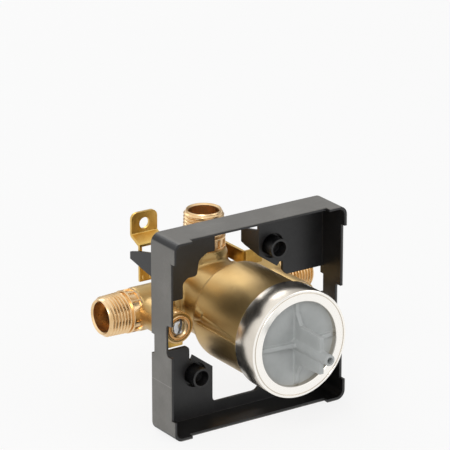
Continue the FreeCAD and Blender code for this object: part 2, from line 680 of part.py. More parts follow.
# Screwdriver stop of one inlet, made for the right side and mirrored for the left
def make_stop():
    y_axis = (0, 1, 0)
    x = stop_x
    bore = stem_radius + stem_clearance
    front = stop_boss_front - bonnet_proud
    shoulder = stop_boss_front + stop_bore_depth - bonnet_seal_thickness
    bonnet = cylinder(y_axis, (x, front, 0), bonnet_radius, shoulder - front)
    bonnet = soften(bonnet, stop_edge, lambda edge: circle_at(edge, front, bonnet_radius))
    tail_end = shoulder + bonnet_tail_length
    bonnet = bonnet.fuse(cylinder(y_axis, (x, front + 1, 0), bonnet_tail_radius, tail_end - front - 1))
    mouth = Part.makeCone(bonnet_mouth_radius, bonnet_mouth_radius - bonnet_step, bonnet_mouth_depth,
                          V(x, front, 0), V(0, 1, 0))
    bonnet = bonnet.cut([mouth, cylinder(y_axis, (x, front, 0), bore, tail_end - front)])
    seal = tube(y_axis, (x, shoulder, 0), bonnet_radius - 0.1, bonnet_tail_radius + 0.1,
                bonnet_seal_thickness)

    stem_front = stop_boss_front - stem_recess
    land_end = stem_front + stem_land_length
    disc_rear = seat_y - running_gap - stop_travel - seal_thickness
    disc_front = disc_rear - disc_thickness
    socket_end = disc_front + disc_thickness * 0.5
    stem = cylinder(y_axis, (x, stem_front, 0), stem_radius, stem_land_length)
    stem = soften(stem, stem_edge, lambda edge: circle_at(edge, stem_front, stem_radius))
    stem = stem.fuse(cylinder(y_axis, (x, land_end - 1, 0), stem_neck_radius,
                              socket_end - running_gap - land_end + 1))
    slot = block((x - stem_radius, stem_front, -stem_slot_width / 2),
                 (x + stem_radius, stem_front + stem_slot_depth, stem_slot_width / 2))
    slot.rotate(V(x, 0, 0), V(0, 1, 0), 62)
    groove = tube(y_axis, (x, stem_front + stem_groove_start, 0), stem_radius + 1,
                  stem_radius - stem_groove_depth, stem_groove_width)
    stem = stem.cut([slot, groove]).removeSplitter()
    section = (stem_groove_depth + stem_clearance) / 2 - ring_slack
    ring = Part.makeTorus(bore - ring_slack - section, section,
                          V(x, stem_front + stem_groove_start + stem_groove_width / 2, 0), V(0, 1, 0))

    disc = cylinder(y_axis, (x, disc_front, 0), disc_radius, disc_thickness)
    disc = disc.fuse(cylinder(y_axis, (x, disc_front - disc_hub_length, 0), disc_hub_radius,
                              disc_hub_length + 1))
    shank_start = disc_rear - seal_screw_shank_length + seal_thickness
    disc = disc.cut([
        cylinder(y_axis, (x, disc_front - disc_hub_length, 0), stem_neck_radius + 0.1,
                 disc_hub_length + socket_end - disc_front),
        cylinder(y_axis, (x, shank_start, 0), seal_screw_shank_radius, disc_rear - shank_start)])
    disc_seal = tube(y_axis, (x, disc_rear, 0), seal_radius, seal_screw_shank_radius, seal_thickness)
    head_start = disc_rear + seal_thickness
    screw = cylinder(y_axis, (x, shank_start, 0), seal_screw_shank_radius, head_start - shank_start)
    head = cylinder(y_axis, (x, head_start, 0), seal_screw_head_radius, seal_screw_head_height)
    driver = block((x - seal_screw_head_radius, head_start + 0.6, -0.3),
                   (x + seal_screw_head_radius, head_start + seal_screw_head_height, 0.3))
    screw = screw.fuse(head).cut(driver)
    return {
        "stop_bonnet": bonnet.removeSplitter(),
        "stop_bonnet_seal": seal,
        "stop_stem": stem,
        "stem_o_ring": ring,
        "stop_disc": disc.removeSplitter(),
        "stop_disc_seal": disc_seal,
        "stop_disc_screw": screw.removeSplitter(),
    }


def save(shape, name):
    placed_shape = shape.translated(V(0, -ear_rear, 0))
    placed_shape.exportStep("parts/" + name + ".step")
    solids = placed_shape.Solids
    print(name, len(solids), round(sum(solid.Volume for solid in solids), 1), shape.isValid())


os.makedirs("parts", exist_ok=True)
save(make_body(), "valve_body")
save(make_nut(), "bonnet_nut")
save(make_cap(), "test_cap")
save(make_cap_ring(0), "cap_front_o_ring")
save(make_cap_ring(1), "cap_rear_o_ring")
save(make_guard(), "plaster_guard")
save(make_strap(), "mounting_strap")
save(make_strap_screws(), "strap_screws")
for name, shape in make_stop().items():
    save(shape, name + "_right")
    save(mirrored(shape), name + "_left")
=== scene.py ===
import bpy
import math
from mathutils import Euler, Matrix, Vector


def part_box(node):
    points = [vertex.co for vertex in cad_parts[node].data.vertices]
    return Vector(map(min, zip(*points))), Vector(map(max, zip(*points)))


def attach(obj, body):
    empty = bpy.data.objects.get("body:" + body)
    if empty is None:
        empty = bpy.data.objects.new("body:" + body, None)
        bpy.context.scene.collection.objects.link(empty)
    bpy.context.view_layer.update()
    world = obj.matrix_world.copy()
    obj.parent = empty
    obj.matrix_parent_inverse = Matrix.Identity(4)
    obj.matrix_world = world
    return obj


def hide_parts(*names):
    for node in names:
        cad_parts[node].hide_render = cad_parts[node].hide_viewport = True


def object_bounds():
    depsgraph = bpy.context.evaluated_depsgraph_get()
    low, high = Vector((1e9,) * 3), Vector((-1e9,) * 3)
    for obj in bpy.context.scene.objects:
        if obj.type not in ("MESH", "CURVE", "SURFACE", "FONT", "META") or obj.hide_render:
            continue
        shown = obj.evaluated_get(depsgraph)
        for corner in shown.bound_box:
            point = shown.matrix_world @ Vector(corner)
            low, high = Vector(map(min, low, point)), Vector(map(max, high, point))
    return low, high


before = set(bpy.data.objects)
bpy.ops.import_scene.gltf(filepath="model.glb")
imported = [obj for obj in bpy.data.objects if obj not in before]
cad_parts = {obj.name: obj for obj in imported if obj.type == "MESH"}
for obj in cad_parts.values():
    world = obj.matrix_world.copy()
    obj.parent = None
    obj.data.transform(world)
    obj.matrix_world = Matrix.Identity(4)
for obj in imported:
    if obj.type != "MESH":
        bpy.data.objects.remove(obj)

cad_low, cad_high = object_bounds()
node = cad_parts
MM = 0.001


# Camera, floor and studio light
# The camera stands a little above the valve and to its left, far off, so lines stay almost
# parallel. The room is white for mirror reflections, and two soft lamps light the valve.
class Field:
    """A socket in a material. Arithmetic on it adds Math nodes."""

    def __init__(self, socket):
        self.socket = socket
        self.tree = socket.id_data

    def node(self, kind, settings, values, output=0):
        made = self.tree.nodes.new(kind)
        for name, value in settings.items():
            if name == "stops":
                ramp = made.color_ramp
                while len(ramp.elements) < len(value):
                    ramp.elements.new(0.5)
                for element, (place, shade) in zip(ramp.elements, value):
                    element.position = place
                    element.color = shade
            else:
                setattr(made, name, value)
        for name, value in values.items():
            if isinstance(value, Field):
                self.tree.links.new(value.socket, made.inputs[name])
            else:
                made.inputs[name].default_value = value
        return Field(made.outputs[output])

    def math(self, operation, *others):
        values = dict(enumerate((self,) + others))
        return self.node("ShaderNodeMath", {"operation": operation}, values)

    def __add__(self, other):
        return self.math("ADD", other)

    __radd__ = __add__

    def __mul__(self, other):
        return self.math("MULTIPLY", other)

    __rmul__ = __mul__

    def __sub__(self, other):
        return self.math("SUBTRACT", other)

    def __rsub__(self, other):
        return (self * -1.0) + other

    def __abs__(self):
        return self.math("ABSOLUTE")

    def above(self, low, high):
        """0 below low, 1 above high, smooth between them."""
        return self.node("ShaderNodeMapRange", {"interpolation_type": "SMOOTHSTEP"},
                         {"Value": self, "From Min": low, "From Max": high})

    def noise(self, scale, detail=3.0, roughness=0.55):
        return self.node("ShaderNodeTexNoise", {"noise_dimensions": "3D"},
                         {"Vector": self, "Scale": scale, "Detail": detail, "Roughness": roughness})

    def tint(self, low, high):
        """A colour from low to high as this value goes from 0 to 1."""
        return self.node("ShaderNodeMix", {"data_type": "RGBA"}, {0: self, 6: low, 7: high}, output=2)

    def spread(self, vector):
        """The position times a vector, for patterns that are longer one way."""
        return self.node("ShaderNodeVectorMath", {"operation": "MULTIPLY"}, {0: self, 1: vector})

    def parts(self):
        return [self.node("ShaderNodeSeparateXYZ", {}, {"Vector": self}, output=i) for i in range(3)]


def aim_camera():
    """Places the camera from its heading, its distance and its shift past the guard's front."""
    turn, rise = math.radians(-33.92), math.radians(20.0)
    distance, shift, lift = 1.71656, -0.01668, 0.04888
    guard_front = Vector((0.0, -0.049, 0.0))
    focal_pixels, picture_pixels = 3401.0, 450.0
    back = Vector((math.sin(turn) * math.cos(rise), -math.cos(turn) * math.cos(rise), math.sin(rise)))
    right = Vector((math.cos(turn), math.sin(turn), 0.0))
    up = back.cross(right)
    eye = back * distance + right * shift + up * lift + guard_front
    data = bpy.data.cameras.new("camera")
    data.sensor_width = 36.0
    data.lens = focal_pixels / picture_pixels * data.sensor_width
    data.clip_start = 0.05
    data.clip_end = 40.0
    camera = bpy.data.objects.new("camera", data)
    camera.matrix_world = Matrix.Translation(eye) @ Matrix((right, up, back)).transposed().to_4x4()
    bpy.context.scene.collection.objects.link(camera)
    bpy.context.scene.camera = camera


def soft_lamp(name, place, size, power):
    """A round lamp that faces the origin."""
    data = bpy.data.lights.new(name, "AREA")
    data.shape = "DISK"
    data.size = size
    data.energy = power
    lamp = bpy.data.objects.new(name, data)
    lamp.location = place
    lamp.rotation_euler = (-Vector(place)).to_track_quat("-Z", "Y").to_euler()
    bpy.context.scene.collection.objects.link(lamp)


aim_camera()
soft_lamp("key_lamp", (-1.3, -1.2, 1.5), 1.1, 17.0)
soft_lamp("fill_lamp", (1.4, -1.6, 0.7), 1.3, 6.5)
soft_lamp("back_lamp", (0.3, 1.7, 1.3), 1.2, 8.0)

room = bpy.data.worlds.new("room")
bpy.context.scene.world = room
room.use_nodes = True
room_nodes = room.node_tree.nodes
paths = room_nodes.new("ShaderNodeLightPath")
by_camera, by_gloss, by_glass = [Field(paths.outputs["Is " + kind + " Ray"])
                                 for kind in ("Camera", "Glossy", "Transmission")]
heading = Field(room_nodes.new("ShaderNodeTexCoord").outputs["Generated"])
lean = heading.node("ShaderNodeVectorMath", {"operation": "DOT_PRODUCT"},
                    {0: heading, 1: (-0.55, -0.25, 0.8)}, output=1)
seen_in_metal = lean.above(-0.55, 0.75) * 0.82 + 0.28
strength = by_camera + by_glass + by_gloss * seen_in_metal + (1.0 - by_camera - by_gloss - by_glass) * 0.5
sky = room_nodes["Background"]
sky.inputs["Color"].default_value = (1.0, 1.0, 1.0, 1.0)
room.node_tree.links.new(strength.socket, sky.inputs["Strength"])

bpy.ops.object.select_all(action="DESELECT")
bpy.ops.mesh.primitive_circle_add(vertices=96, radius=4.0, fill_type="NGON", location=(0, 0, cad_low[2]))
floor = bpy.context.object
floor.name = "floor"
floor_material = bpy.data.materials.new("floor")
floor_material.use_nodes = True
tree = floor_material.node_tree
paint = tree.nodes["Principled BSDF"]
paint.inputs["Base Color"].default_value = (0.9, 0.9, 0.9, 1.0)
paint.inputs["Roughness"].default_value = 0.9
paint.inputs["Specular IOR Level"].default_value = 0.1
glow = tree.nodes.new("ShaderNodeEmission")
glow.inputs["Strength"].default_value = 1.0
rays = tree.nodes.new("ShaderNodeLightPath").outputs
seen = Field(rays["Is Camera Ray"]).math("MAXIMUM", Field(rays["Is Glossy Ray"]))
glow_share = 0.84
blend = tree.nodes.new("ShaderNodeMixShader")
tree.links.new((seen * glow_share).socket, blend.inputs["Fac"])
tree.links.new(paint.outputs[0], blend.inputs[1])
tree.links.new(glow.outputs[0], blend.inputs[2])
tree.links.new(blend.outputs[0], tree.nodes["Material Output"].inputs["Surface"])
floor.data.materials.append(floor_material)
bpy.context.scene.view_settings.view_transform = "Standard"


# Cast brass body
# One sand casting with a grainy skin: the barrel, the neck behind it, the cross pipe with its two
# stop bosses and the riser. Its ends and bores are turned bright on a lathe.
def colour(red, green, blue):
    """Turns a screen colour from 0 to 255 into the linear values that a shader takes."""
    linear = []
    for channel in (red / 255, green / 255, blue / 255):
        linear.append(channel / 12.92 if channel <= 0.04045 else ((channel + 0.055) / 1.055) ** 2.4)
    return (*linear, 1.0)


def start_material(name, **constants):
    """A new material, its shader and the place on the piece in millimetres."""
    material = bpy.data.materials.new(name)
    material.use_nodes = True
    shader = material.node_tree.nodes["Principled BSDF"]
    for socket, value in constants.items():
        shader.inputs[socket.replace("_", " ")].default_value = value
    coordinates = material.node_tree.nodes.new("ShaderNodeTexCoord")
    metres = Field(coordinates.outputs["Object"])
    place = metres.spread((1000.0, 1000.0, 1000.0))
    return material, shader, place


def connect(shader, **fields):
    for socket, field in fields.items():
        shader.id_data.links.new(field.socket, shader.inputs[socket.replace("_", " ")])


def bump(height, depth, strength=1.0, under=None):
    """A bump whose height of 0 to 1 stands for a depth in millimetres."""
    values = {"Height": height, "Distance": depth * MM, "Strength": strength}
    if under is not None:
        values["Normal"] = under
    return height.node("ShaderNodeBump", {}, values)


def soft_edges(place, radius):
    """Normals that turn over the sharp edges of a piece as a small rounding would."""
    return place.node("ShaderNodeBevel", {"samples": 6}, {"Radius": radius * MM})


def dress(material, *names):
    for name in names:
        for slot in node[name].material_slots:
            slot.material = material


def make_cast_brass():
    material, shader, place = start_material("cast_brass", Metallic=1.0)
    grain = place.noise(2.6, detail=4.0, roughness=0.65)
    lumps = place.noise(0.45, detail=2.0)
    patches = place.noise(0.06, detail=3.0, roughness=0.55)
    pits = place.node("ShaderNodeTexVoronoi", {"feature": "F1"}, {"Vector": place, "Scale": 1.3})
    pit = 1.0 - pits.above(0.08, 0.28)
    rough_skin = grain * 0.6 + lumps * 0.12 - pit * 0.3
    shade = (patches * 0.6 + grain * 0.4).above(0.25, 0.75)
    skin = shade.tint(colour(182, 152, 98), colour(200, 170, 116))
    stain = place.noise(0.2, detail=4.0, roughness=0.7).above(0.6, 0.8) * 0.2
    base = stain.tint(skin, colour(132, 106, 66))
    connect(shader, Base_Color=base, Roughness=0.34 + grain * 0.08 + patches * 0.03,
            Normal=bump(rough_skin, 0.055))
    return material


cast_brass = make_cast_brass()

barrel_front, barrel_rear, neck_rear = -79.0, -27.0, 6.7
barrel_radius, neck_radius = 26.4, 21.0
chamber_radius, rear_chamber_radius, chamber_step, chamber_end = 20.2, 15.0, -31.0, -9.3
mouth_end = -69.5
pipe_line, pipe_radius, manifold_radius, waterway_radius = 0.4, 11.5, 12.6, 6.2
boss_front, boss_x, boss_radius, boss_bore = -33.5, 37.7, 8.4, 6.7
pad_radius, pad_face, pad_height = 5.5, 13.0, 16.0


def clear_selection():
    if bpy.context.mode != "OBJECT":
        bpy.ops.object.mode_set(mode="OBJECT")
    bpy.ops.object.select_all(action="DESELECT")


def bake_place(piece):
    clear_selection()
    piece.select_set(True)
    bpy.context.view_layer.objects.active = piece
    bpy.ops.object.transform_apply(location=True, rotation=True, scale=True)


TURNS = {"+y": (-90, 0, 0), "-y": (90, 0, 0), "+z": (0, 0, 0), "-x": (0, -90, 0), "+x": (0, 90, 0)}


def turn_on_lathe(name, stations, direction="+y", origin=(0, 0, 0), sides=96, closed=False):
    """Draws out a circle through pairs of radius and length, then lays it along a direction."""
    clear_selection()
    radius, length = stations[0]
    bpy.ops.mesh.primitive_circle_add(vertices=sides, radius=radius * MM, location=(0, 0, length * MM))
    piece = bpy.context.object
    piece.name = name
    bake_place(piece)
    bpy.ops.object.mode_set(mode="EDIT")
    bpy.ops.mesh.select_all(action="SELECT")
    for next_radius, next_length in stations[1:]:
        bpy.ops.mesh.extrude_region_move(
            TRANSFORM_OT_translate={"value": (0, 0, (next_length - length) * MM)})
        ratio = next_radius / radius
        bpy.ops.transform.resize(value=(ratio, ratio, 1.0), center_override=(0, 0, next_length * MM))
        radius, length = next_radius, next_length
    bpy.ops.mesh.select_all(action="DESELECT")
    bpy.ops.mesh.select_non_manifold()
    if closed:
        bpy.ops.mesh.bridge_edge_loops()
    else:
        bpy.ops.mesh.fill_holes(sides=0)
    bpy.ops.mesh.select_all(action="SELECT")
    bpy.ops.mesh.remove_doubles(threshold=1e-6)
    bpy.ops.mesh.normals_make_consistent(inside=False)
    bpy.ops.object.mode_set(mode="OBJECT")
    piece.rotation_euler = [math.radians(angle) for angle in TURNS[direction]]
    piece.location = [c * MM for c in origin]
    bake_place(piece)
    return piece


def finish_piece(piece, material, body="valve", smooth=32):
    clear_selection()
    piece.select_set(True)
    bpy.context.view_layer.objects.active = piece
    bpy.ops.object.shade_smooth_by_angle(angle=math.radians(smooth))
    piece.data.materials.clear()
    piece.data.materials.append(material)
    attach(piece, body)
    return piece


def cut_away(piece, cutter):
    """Cuts a shape out of a piece and removes the cutter."""
    clear_selection()
    bpy.context.view_layer.objects.active = piece
    piece.select_set(True)
    saw = piece.modifiers.new("saw", "BOOLEAN")
    saw.operation = "DIFFERENCE"
    saw.solver = "EXACT"
    saw.object = cutter
    bpy.ops.object.modifier_apply(modifier="saw")
    bpy.data.objects.remove(cutter)


def join_pieces(first, others):
    clear_selection()
    for other in others:
        other.select_set(True)
    first.select_set(True)
    bpy.context.view_layer.objects.active = first
    bpy.ops.object.join()
    return first


def bar(name, radius, start, length, direction, origin, rounded=0.0, sides=64):
    """A round bar whose far end may be rounded."""
    stations = [(radius, start)]
    if rounded:
        steps = 5
        for step in range(steps + 1):
            angle = math.pi / 2 * step / steps
            stations.append((radius - rounded + rounded * math.cos(angle),
                             start + length - rounded + rounded * math.sin(angle)))
    else:
        stations.append((radius, start + length))
    return turn_on_lathe(name, stations, direction, origin, sides)


casting = bar("cast_body", barrel_radius, barrel_front + 9.4, barrel_rear - barrel_front - 9.4, "+y",
              (0, 0, 0), 3.2, 96)
lumps = [bar("neck", neck_radius, barrel_rear - 4, neck_rear - barrel_rear + 4, "+y", (0, 0, 0), 5.0)]
for side, facing in ((-1, "-x"), (1, "+x")):
    lumps.append(bar("pipe", pipe_radius, 0, 43.2, facing, (0, pipe_line, 0)))
    lumps.append(bar("manifold", manifold_radius, 0, 24.0, facing, (0, pipe_line, 0), 1.0))
    lumps.append(bar("boss", boss_radius, 0, pipe_line - boss_front + 1.0, "-y",
                     (side * boss_x, pipe_line, 0)))
    lumps.append(bar("pad", pad_radius, -8.0, 22.5, "+y", (0, 0, side * pad_height)))
lumps.append(bar("riser_foot", 12.4, 0, 24.0, "+z", (0, pipe_line, 0), 0.9))
lumps.append(bar("riser", pipe_radius, 0, 26.2, "+z", (0, pipe_line, 0)))
join_pieces(casting, lumps)
sand = casting.modifiers.new("sand", "REMESH")
sand.mode = "VOXEL"
sand.voxel_size = 0.8 * MM
bpy.ops.object.modifier_apply(modifier="sand")
melt = casting.modifiers.new("melt", "SMOOTH")
melt.factor = 0.5
melt.iterations = 7
bpy.ops.object.modifier_apply(modifier="melt")

# Machined faces and bores
cut_away(casting, turn_on_lathe("chamber", [
    (30.0, -90.0), (30.0, mouth_end), (chamber_radius, mouth_end), (chamber_radius, chamber_step),
    (rear_chamber_radius, chamber_step), (rear_chamber_radius, chamber_end)]))
for side in (1, -1):
    cut_away(casting, turn_on_lathe("rear_face", [(8.0, pad_face), (8.0, 20.0)],
                                    origin=(0, 0, side * pad_height)))
for side, facing in ((-1, "-x"), (1, "+x")):
    cut_away(casting, turn_on_lathe("bore", [(waterway_radius, 30.0), (waterway_radius, 60.0)], facing,
                                    (0, pipe_line, 0)))
    cut_away(casting, turn_on_lathe("stop_bore", [
        (11.0, -60.0), (11.0, boss_front), (boss_bore, boss_front), (boss_bore, -21.1), (6.0, -21.1),
        (6.0, -2.0)], origin=(side * boss_x, 0, 0)))
cut_away(casting, turn_on_lathe("riser_bore", [
    (waterway_radius, 3.9), (waterway_radius, 25.9), (13.5, 25.9), (13.5, 40.0)], "+z", (0, pipe_line, 0)))
finish_piece(casting, cast_brass, smooth=40)


def raise_band(name, side, start, end, low, high, height):
    """A raised strip on the barrel from one depth to another, between two heights at each end."""
    clear_selection()
    bpy.ops.mesh.primitive_grid_add(x_subdivisions=36, y_subdivisions=10, size=2.0, location=(0, 0, 0))
    band = bpy.context.object
    band.name = name
    for vertex in band.data.vertices:
        along, across = (vertex.co.x + 1) / 2, (vertex.co.y + 1) / 2
        bottom = low[0] + (low[1] - low[0]) * along
        top = high[0] + (high[1] - high[0]) * along
        edge = min(across, 1 - across) * 4, min(along, 1 - along) * abs(end - start) / 1.6
        lift = min(1.0, edge[0]) * min(1.0, edge[1])
        angle = (bottom + (top - bottom) * across) / barrel_radius
        radius = barrel_radius - 0.1 + height * lift
        vertex.co = (side * radius * math.cos(angle) * MM, (start + (end - start) * along) * MM,
                     radius * math.sin(angle) * MM)
    thick = band.modifiers.new("thick", "SOLIDIFY")
    thick.thickness = 0.8 * MM
    thick.offset = 1.0 if side < 0 else -1.0
    bpy.ops.object.modifier_apply(modifier="thick")
    bpy.ops.object.mode_set(mode="EDIT")
    bpy.ops.mesh.select_all(action="SELECT")
    bpy.ops.mesh.normals_make_consistent(inside=False)
    bpy.ops.object.mode_set(mode="OBJECT")
    return finish_piece(band, cast_brass)


bands = [raise_band("parting_ridge_left", -1, -69.0, -31.0, (-0.7, -0.7), (0.7, 0.7), 0.85),
         raise_band("parting_ridge_right", 1, -69.0, -31.0, (-0.7, -0.7), (0.7, 0.7), 0.85),
         raise_band("parting_band", -1, -69.0, -36.0, (1.6, 1.2), (2.6, 5.6), 0.45),
         raise_band("gate_pad", -1, -38.0, -29.5, (2.2, 0.2), (7.0, 9.5), 0.7)]


# Turned ends of the ports
# Each port ends in a collar with cast pockets and a tapered pipe thread, with a smooth socket
# for soldered tube inside. They are turned bright and have a chamfered mouth.
def make_turned_brass(name, light, dark):
    material, shader, place = start_material(name, Metallic=1.0)
    cloud = place.noise(0.12, detail=3.0)
    fine = place.noise(5.0, detail=2.0)
    base = (cloud * 0.85 + fine * 0.15).above(0.25, 0.75).tint(dark, light)
    connect(shader, Base_Color=base, Roughness=0.24 + cloud * 0.08, Normal=bump(fine, 0.0025))
    return material


turned_brass = make_turned_brass("turned_brass", colour(242, 212, 168), colour(220, 182, 130))
end_length = 19.8
inlet_reach, outlet_reach = 62.98, 45.98
pocket_pitch, pocket_bar = 30.0, 3.7
thread_pitch, thread_turns = 1.814, 7


def make_thread(name, crest, root, pitch, turns, taper, direction, origin, start):
    """A screw ridge with run-out ends, drawn around +Z and laid along a direction."""
    clear_selection()
    bpy.ops.mesh.primitive_circle_add(vertices=6, radius=0.3 * pitch * MM, location=(0, 0, 0))
    ridge = bpy.context.object
    ridge.name = name
    half = pitch * 0.5
    shape = [(root, -half), (root + (crest - root) * 0.9, -half * 0.2), (crest, -half * 0.08),
             (crest, half * 0.08), (root + (crest - root) * 0.9, half * 0.2), (root, half)]
    for vertex, (radius, height) in zip(ridge.data.vertices, shape):
        vertex.co = (radius * MM, 0.0, (start + height) * MM)
    wind = ridge.modifiers.new("wind", "SCREW")
    wind.axis = "Z"
    wind.angle = 2 * math.pi
    wind.screw_offset = pitch * MM
    wind.iterations = turns
    wind.steps = 72
    wind.render_steps = 72
    bpy.ops.object.modifier_apply(modifier="wind")
    last = len(ridge.data.vertices) // 6 - 1
    for index, vertex in enumerate(ridge.data.vertices):
        place = Vector(vertex.co)
        step = (place.z / MM - start) / pitch
        away = math.hypot(place.x, place.y) / MM
        lift = min(1.0, max(0.0, step * 3.0), max(0.0, (turns - step) * 3.0))
        narrowed = root + (away - root) * lift - taper * max(0.0, place.z / MM - start)
        vertex.co = (place.x * narrowed / away, place.y * narrowed / away, place.z)
    bpy.ops.object.mode_set(mode="EDIT")
    bpy.ops.mesh.select_all(action="DESELECT")
    bpy.ops.mesh.select_non_manifold()
    bpy.ops.mesh.fill_holes(sides=0)
    bpy.ops.mesh.select_all(action="SELECT")
    bpy.ops.mesh.normals_make_consistent(inside=False)
    bpy.ops.object.mode_set(mode="OBJECT")
    ridge.rotation_euler = [math.radians(angle) for angle in TURNS[direction]]
    ridge.location = [c * MM for c in origin]
    bake_place(ridge)
    return ridge


def make_port_end(name, reach, direction):
    """A collar with sunk pockets, a threaded end and the socket inside them."""
    back = reach - end_length
    stations = [
        (6.0, back - 0.6), (11.0, back - 0.6), (11.2, back - 0.2), (11.2, back + 0.9), (11.2, back + 5.1),
        (11.2, back + 5.8), (10.9, back + 6.0), (9.75, back + 6.0), (9.6, reach - 1.2), (9.3, reach - 0.25),
        (9.1, reach), (8.8, reach), (8.0, reach - 0.8), (8.0, reach - 13.0), (6.0, reach - 13.4)]
    end = turn_on_lathe(name, stations, direction, (0, pipe_line, 0), closed=True)
    middle = Vector((0, pipe_line, 0)) * MM
    axis = Euler([math.radians(a) for a in TURNS[direction]]).to_matrix() @ Vector((0, 0, 1))
    bpy.ops.object.mode_set(mode="EDIT")
    bpy.ops.mesh.select_all(action="DESELECT")
    bpy.ops.mesh.select_mode(type="FACE")
    bpy.ops.object.mode_set(mode="OBJECT")
    across = axis.orthogonal().normalized()
    other = axis.cross(across)
    for face in end.data.polygons:
        along = (face.center - middle).dot(axis) / MM
        off = face.center - middle - axis * (along * MM)
        turn = math.degrees(math.atan2(off.dot(other), off.dot(across))) % 360
        inside_band = back + 1.0 < along < back + 5.0 and off.length > 11.0 * MM
        face.select = inside_band and turn % pocket_pitch > pocket_bar
    bpy.ops.object.mode_set(mode="EDIT")
    bpy.ops.mesh.inset(thickness=0.12 * MM, depth=-0.85 * MM, use_even_offset=True)
    bpy.ops.mesh.select_mode(type="VERT")
    bpy.ops.object.mode_set(mode="OBJECT")
    thread = make_thread(name + "_thread", 10.85, 9.6, thread_pitch, thread_turns, 1 / 32, direction,
                         (0, pipe_line, 0), back + 6.2)
    join_pieces(end, [thread])
    return finish_piece(end, turned_brass)


port_ends = [make_port_end("left_port_end", inlet_reach, "-x"),
             make_port_end("right_port_end", inlet_reach, "+x"),
             make_port_end("outlet_port_end", outlet_reach, "+z")]

# The barrel's mouth carries the thread of the ring nut
mouth = turn_on_lathe("barrel_mouth", [
    (chamber_radius, -60.0), (chamber_radius, barrel_front + 0.4), (20.6, barrel_front), (25.0, barrel_front),
    (25.3, barrel_front + 0.3), (25.3, -69.2), (26.2, -69.2), (26.2, -66.0)], closed=True)
mouth_thread = make_thread("mouth_thread", 25.95, 25.2, 1.5, 5, 0.0, "+y", (0, 0, 0), barrel_front + 1.0)
join_pieces(mouth, [mouth_thread])
finish_piece(mouth, turned_brass)
for piece in [casting, mouth] + port_ends + bands:
    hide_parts("valve_body")


# Stop inserts and stems
# Each boss holds a turned brass insert with two fine rings on its face, and a plated steel stem
# with a screwdriver slot in its rounded end. The stem turns in the insert.
def make_steel():
    material, shader, place = start_material("steel", Metallic=1.0)
    cloud = place.noise(0.2, detail=3.0)
    lines = place.spread((1.0, 9.0, 1.0)).noise(1.2, detail=2.0)
    connect(shader, Base_Color=cloud.above(0.3, 0.7).tint(colour(168, 168, 170), colour(204, 204, 204)),
            Roughness=0.16 + cloud * 0.1, Normal=bump(lines, 0.004, under=soft_edges(place, 0.12)))
    return material


steel = make_steel()
insert_front, insert_shoulder, insert_rear = boss_front - 0.8, -22.3, -18.3
stem_radius, stem_land_end, stem_neck_radius = 4.1, -22.3, 2.6
groove_front, groove_rear, groove_radius = boss_front + 7.2, boss_front + 9.1, 2.95
slot_width, slot_turn = 1.4, 18.0


def make_stop_front(side, name):
    """The ring on the boss, the insert and the stem of one stop."""
    middle = (side * boss_x, 0, 0)
    rim = turn_on_lathe("stop_rim_" + name, [
        (6.75, boss_front + 2.0), (6.75, boss_front + 0.3), (7.0, boss_front), (7.35, boss_front),
        (7.5, boss_front + 0.3), (7.75, boss_front + 0.3), (7.9, boss_front - 0.05), (8.2, boss_front - 0.05),
        (boss_radius, boss_front + 0.2), (boss_radius, boss_front + 2.0)], origin=middle, closed=True)
    finish_piece(rim, turned_brass)
    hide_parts("valve_body")
    insert = turn_on_lathe("stop_insert_" + name, [
        (4.2, insert_rear), (4.2, insert_front + 1.1), (4.8, insert_front + 0.5), (5.1, insert_front + 0.05),
        (5.45, insert_front), (5.6, insert_front + 0.45), (5.85, insert_front + 0.45),
        (6.0, insert_front + 0.05), (6.35, insert_front), (6.6, insert_front + 0.25), (6.6, insert_shoulder),
        (5.5, insert_shoulder), (5.5, insert_rear)], origin=middle, closed=True)
    finish_piece(insert, turned_brass)
    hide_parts("stop_bonnet_" + name)
    low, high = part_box("stop_stem_" + name)
    end = high[1] / MM
    dome = [(0.6, boss_front - 1.3), (1.7, boss_front - 1.2), (2.7, boss_front - 0.95),
            (3.5, boss_front - 0.5), (3.95, boss_front + 0.1), (stem_radius, boss_front + 0.8)]
    stem = turn_on_lathe("stop_stem_end_" + name, dome + [
        (stem_radius, groove_front), (groove_radius, groove_front), (groove_radius, groove_rear),
        (stem_radius, groove_rear), (stem_radius, stem_land_end), (stem_neck_radius, stem_land_end),
        (stem_neck_radius, end)], origin=middle)
    clear_selection()
    bpy.ops.mesh.primitive_cube_add(size=2.0, location=(side * boss_x * MM, (boss_front - 0.1) * MM, 0))
    slot = bpy.context.object
    slot.scale = (slot_width / 2 * MM, 1.5 * MM, 5.0 * MM)
    slot.rotation_euler = (0, math.radians(slot_turn), 0)
    bake_place(slot)
    cut_away(stem, slot)
    finish_piece(stem, steel, name + "_stem")
    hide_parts("stop_stem_" + name)


for side, name in ((-1, "left"), (1, "right")):
    make_stop_front(side, name)
    dress(turned_brass, "stop_disc_" + name)
    dress(steel, "stop_disc_screw_" + name)


# Rubber seals
# Black nitrile rings on the stems, the cap and the stop discs, and a flat seal under each insert.
def make_rubber():
    material, shader, place = start_material("rubber")
    cloud = place.noise(1.2, detail=3.0)
    connect(shader, Base_Color=cloud.tint(colour(24, 24, 24), colour(40, 40, 39)),
            Roughness=0.55 + cloud * 0.2, Normal=bump(place.noise(5.0), 0.02))
    return material


rubber = make_rubber()
dress(rubber, "cap_front_o_ring", "cap_rear_o_ring")
for name in ("left", "right"):
    dress(rubber, "stop_bonnet_seal_" + name, "stem_o_ring_" + name, "stop_disc_seal_" + name)


